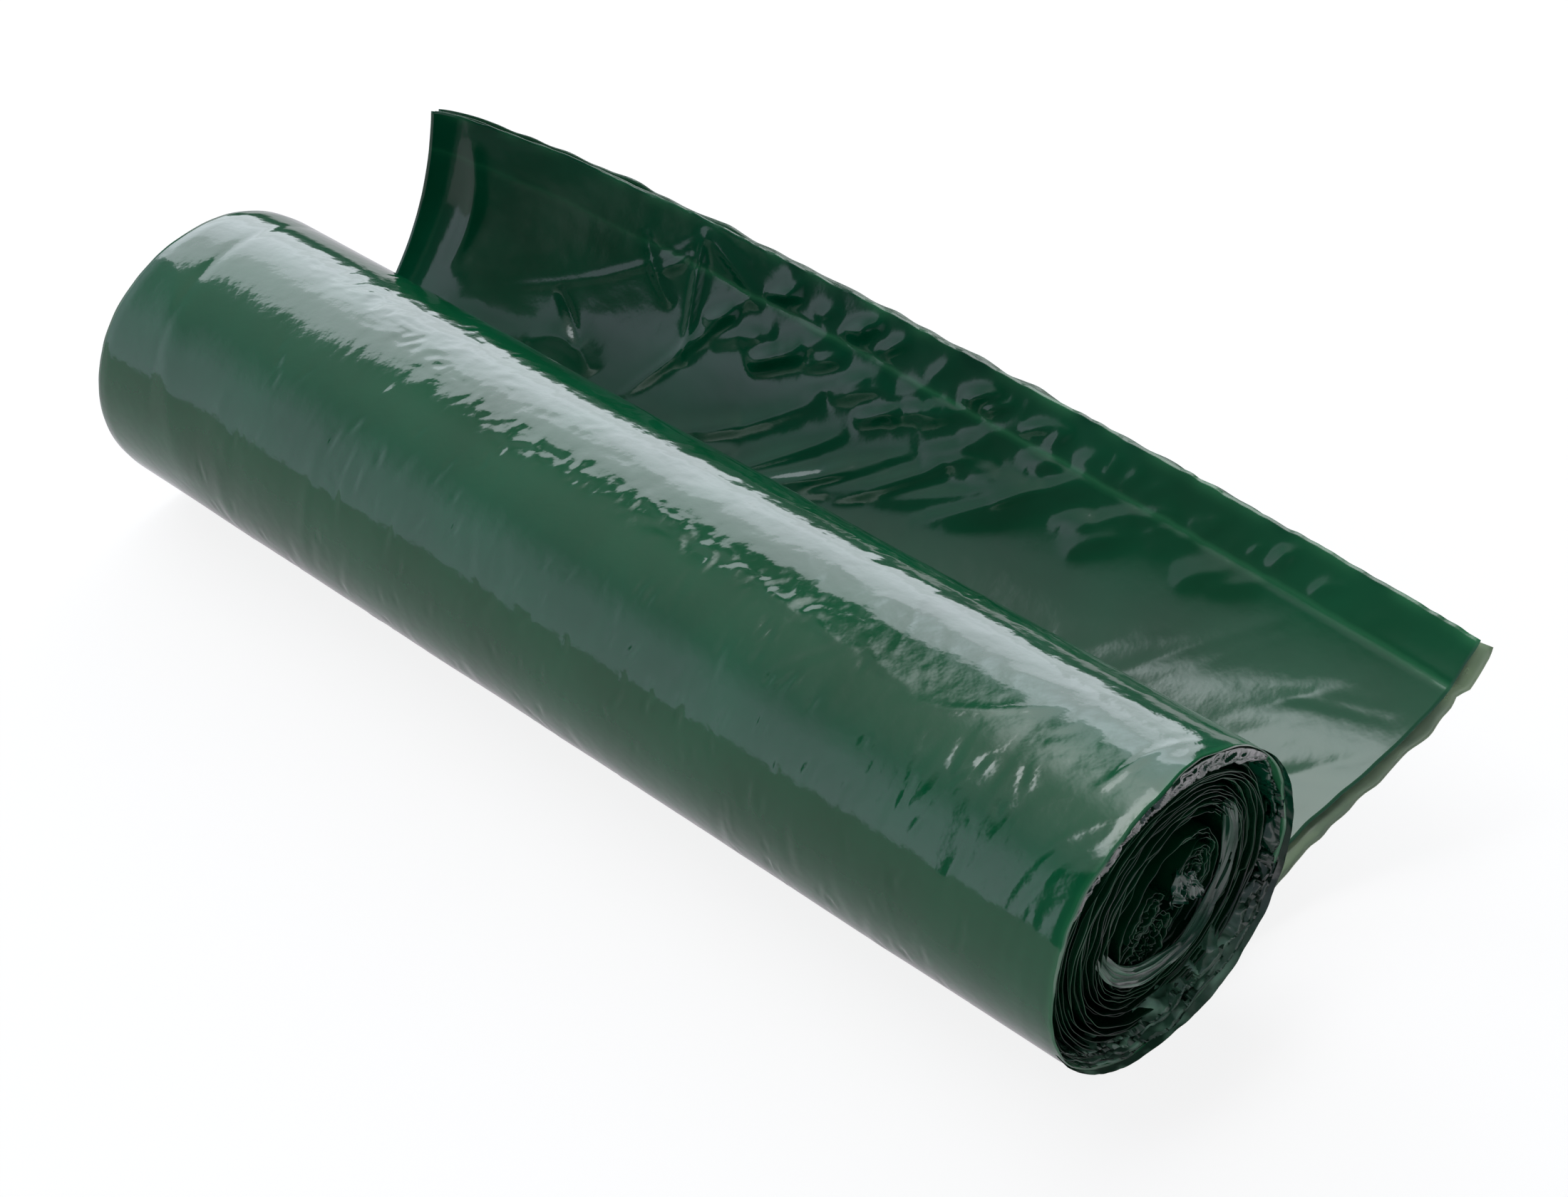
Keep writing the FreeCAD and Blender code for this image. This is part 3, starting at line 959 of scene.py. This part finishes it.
def world():
    """The room. The camera sees it white. The film mirrors it brightest low down at
    the far end's side and dark behind the free end, with one darker patch in front
    and two bright ones overhead."""
    sky = bpy.data.worlds.new("studio")
    bpy.context.scene.world = sky
    sky.use_nodes = True
    nodes, links = sky.node_tree.nodes, sky.node_tree.links
    nodes.clear()
    output = nodes.new("ShaderNodeOutputWorld")
    way = nodes.new("ShaderNodeTexCoord")
    axes = nodes.new("ShaderNodeSeparateXYZ")
    links.new(way.outputs["Generated"], axes.inputs["Vector"])
    tint = ramped(nodes, links, axes.outputs["Z"], SKY_TINTS)
    behind = soft_step(nodes, links, axes.outputs["Y"], -0.1, 0.45, 1.0, 0.06)
    across = nodes.new("ShaderNodeMapRange")
    across.inputs["From Min"].default_value = -1.0
    across.inputs["From Max"].default_value = 1.0
    links.new(axes.outputs["X"], across.inputs["Value"])
    shares = [(place, (share, share, share)) for place, share in SIDE_SHARES]
    aside = ramped(nodes, links, across.outputs["Result"], shares)
    plain = worked_out(nodes, links, "MULTIPLY", behind, aside)
    gap = patch(nodes, links, axes, *GAP)
    lit = worked_out(nodes, links, "MULTIPLY_ADD", gap, -2.0, 2.0)
    veil = worked_out(nodes, links, "MULTIPLY", plain, lit)
    ceiling = patch(nodes, links, axes, *CEILING)
    sheen = patch(nodes, links, axes, *SHEEN)
    above = worked_out(nodes, links, "MAXIMUM", ceiling, sheen)
    light = nodes.new("ShaderNodeBackground")
    links.new(tint, light.inputs["Color"])
    links.new(worked_out(nodes, links, "ADD", veil, above), light.inputs["Strength"])
    white = nodes.new("ShaderNodeBackground")
    white.inputs["Color"].default_value = (1, 1, 1, 1)
    white.inputs["Strength"].default_value = 1.0
    path = nodes.new("ShaderNodeLightPath")
    mix = nodes.new("ShaderNodeMixShader")
    links.new(path.outputs["Is Camera Ray"], mix.inputs["Fac"])
    links.new(light.outputs["Background"], mix.inputs[1])
    links.new(white.outputs["Background"], mix.inputs[2])
    links.new(mix.outputs["Shader"], output.inputs["Surface"])


def lamp(name, direction, distance, size, radiance, tint):
    """A square soft lamp that shines on the roll from that direction."""
    data = bpy.data.lights.new(name, "AREA")
    data.shape = "RECTANGLE"
    data.size, data.size_y = size
    data.energy = radiance * math.pi * size[0] * size[1]
    data.color = tint
    piece = bpy.data.objects.new(name, data)
    bpy.context.scene.collection.objects.link(piece)
    aim = Vector((0, 0, HALF_HEIGHT * MM))
    way = Vector(direction).normalized()
    piece.location = aim + way * distance
    piece.rotation_euler = way.to_track_quat("Z", "Y").to_euler()


CAMERA_AZIMUTH = 44.27
CAMERA_ELEVATION = 36.31
CAMERA_DISTANCE = 539.9
CAMERA_TARGET = Vector((37.55, 0, 46.7))
CAMERA_LENS = 71.25


def camera():
    data = bpy.data.cameras.new("camera")
    data.sensor_width = 36.0
    data.lens = CAMERA_LENS
    piece = bpy.data.objects.new("camera", data)
    bpy.context.scene.collection.objects.link(piece)
    azimuth, elevation = math.radians(CAMERA_AZIMUTH), math.radians(CAMERA_ELEVATION)
    back = Vector((
        math.sin(azimuth) * math.cos(elevation),
        -math.cos(azimuth) * math.cos(elevation),
        math.sin(elevation),
    ))
    piece.location = (CAMERA_TARGET + back * CAMERA_DISTANCE) * MM
    piece.rotation_euler = back.to_track_quat("Z", "Y").to_euler()
    bpy.context.scene.camera = piece


# The film's colours, each as its deep and its thin end
OUTER_GREEN = (0.0006, 0.050, 0.016), (0.001, 0.072, 0.026)
# Painted shade: the free end is coloured darker than the outer turn for the roll's shade on it.
LOOSE_GREEN_PAINTED_SHADE = (0.0004, 0.034, 0.014), (0.0008, 0.060, 0.026)
# Painted shade: the crushed film's deep end is far darker than the outer turn's.
CRUSHED_GREEN_PAINTED_SHADE = (0.0003, 0.013, 0.006), (0.0010, 0.062, 0.028)
# Painted shade: the coils of both ends and the rim fold are coloured far darker than the outer turn
# for the shade among the turns.
INNER_GREEN_PAINTED_SHADE = (0.0003, 0.008, 0.003), (0.0008, 0.034, 0.013)
# Shown along the seal, the torn edge and the outer turn's near lip, and as painted highlight on the
# coils' folded edges and painted light on the free end's near part.
PALE_AND_PAINTED_LIGHT_GREEN = (0.05, 0.24, 0.10)
# Painted light: the colour of the glints painted on the crushed layers and of the light painted on
# the leaves.
PAINTED_LIGHT_CRUSHED = (0.15, 0.29, 0.19)
# Painted glow: the fold's edge is painted this light colour for the light that comes through the
# single layer, besides its real see-through share.
PAINTED_GLOW_FOLD = (0.36, 0.46, 0.31)
FOLD_LIGHT = (0.72, 0.78, 0.66)


def build():
    camera()
    size = (ROLL_LENGTH, AROUND)
    film = film_finish("film", *OUTER_GREEN, PALE_AND_PAINTED_LIGHT_GREEN, 0.10, dents=size)
    inner = film_finish("film_inside_painted_shade", *INNER_GREEN_PAINTED_SHADE, PALE_AND_PAINTED_LIGHT_GREEN, 0.14, shine=1.34)
    rim = film_finish("film_rim_painted_shade", *INNER_GREEN_PAINTED_SHADE, PALE_AND_PAINTED_LIGHT_GREEN, 0.14, shine=1.6)
    loose = film_finish("film_free_end_painted_light_and_shade", *LOOSE_GREEN_PAINTED_SHADE, PALE_AND_PAINTED_LIGHT_GREEN, 0.10, shine=1.43, grained=0.10)
    crushed = film_finish("film_crushed_painted_light_and_shade", *CRUSHED_GREEN_PAINTED_SHADE, PAINTED_LIGHT_CRUSHED, 0.14, shine=1.42)
    fold = film_finish("film_fold_painted_glow", *OUTER_GREEN, PAINTED_GLOW_FOLD, 0.24, FOLD_LIGHT)
    wrap = dress(outer_turn(), film)
    near = dress(end_turns("near_turns", NEAR_END, 1, 201), inner)
    far = dress(end_turns("far_turns", FAR_END, -1, 301), inner)
    loose_turns = [dress(rim_fold(), rim), dress(near_crush(), crushed)]
    front = dress(front_panel(), loose)
    rear = dress(rear_panels(), fold)
    floor()
    world()
    lamp("window_light", (-0.70, 0.53, 0.47), 1.5, (1.75, 1.05), 3.4, (0.97, 0.99, 1.08))
    lamp("window_core", (-0.70, 0.53, 0.44), 1.4, (1.3, 0.42), 1.1, (0.95, 0.99, 1.12))
    bpy.context.scene.view_settings.view_transform = "Standard"


build()
